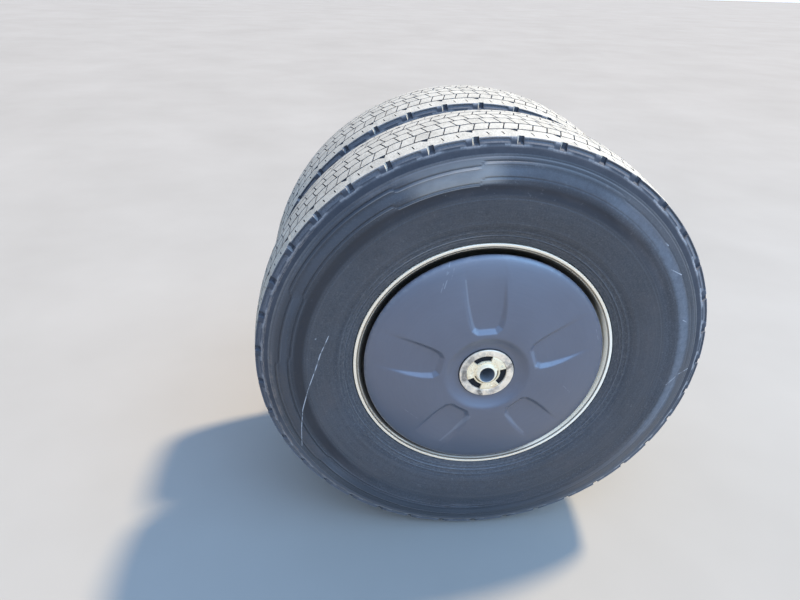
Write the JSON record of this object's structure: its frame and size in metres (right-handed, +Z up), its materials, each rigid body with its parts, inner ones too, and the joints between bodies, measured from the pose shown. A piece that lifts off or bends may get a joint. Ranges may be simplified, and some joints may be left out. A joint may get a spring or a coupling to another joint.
{
  "type": "twin truck wheel on axle end",
  "caption": "Rear twin truck wheel with a full moulded cover, on its hub and drum, turning on the axle's end with its cam brake and brake chamber.",
  "frame": {"origin": "on the wheel axis at the inboard end of the axle tube, where the machined seat ends", "axes": "+Y inboard along the wheel axis, +Z up, +X the way the vehicle drives; the covered face of the wheel looks along -Y"},
  "size_m": [1.055, 1.1515, 1.0552],
  "materials": {
    "tyre_rubber": "worn matt rubber, dusty",
    "polished_rim": "polished aluminium, brushed barrel",
    "cover_plastic": "moulded satin plastic, lightly scuffed",
    "latch_metal": "worn satin metal with grime",
    "zinc_steel": "zinc plated steel, dull",
    "shaft_steel": "oiled machined steel",
    "cast_iron": "cast iron with light surface rust",
    "chassis_paint": "black chassis paint, dusty",
    "lining": "moulded friction lining"
  },
  "bodies": {
    "axle_end": {"axle_arm": "chassis_paint", "brake_spider": "cast_iron", "spider_bolts": "zinc_steel", "upper_brake_shoe": "chassis_paint", "lower_brake_shoe": "chassis_paint", "brake_linings": "lining", "anchor_pins": "shaft_steel", "cam_shaft": "shaft_steel", "cam_tube": "chassis_paint", "cam_rollers": "shaft_steel", "shoe_return_spring": "zinc_steel", "slack_adjuster": "cast_iron", "chamber_bracket": "chassis_paint", "brake_chamber": "chassis_paint", "pushrod_clevis": "zinc_steel", "suspension_seat": "chassis_paint"},
    "wheel": {"outer_tyre": "tyre_rubber", "inner_tyre": "tyre_rubber", "outer_wheel": "polished_rim", "inner_wheel": "polished_rim", "hub": "cast_iron", "wheel_studs": "zinc_steel", "wheel_nuts": "zinc_steel", "brake_drum": "cast_iron", "axle_shaft": "shaft_steel", "shaft_flange_bolts": "zinc_steel", "cover_bracket": "zinc_steel", "wheel_cover": "cover_plastic", "latch_ring": "latch_metal", "latch_plate": "latch_metal", "latch_core": "latch_metal", "valve_stems": "zinc_steel"}
  },
  "joints": [
    {"name": "wheel_spin", "type": "hinge", "parent": "axle_end", "child": "wheel", "pos_m": [0, -0.67, 0], "axis": [0, 1, 0], "continuous": true}
  ]
}
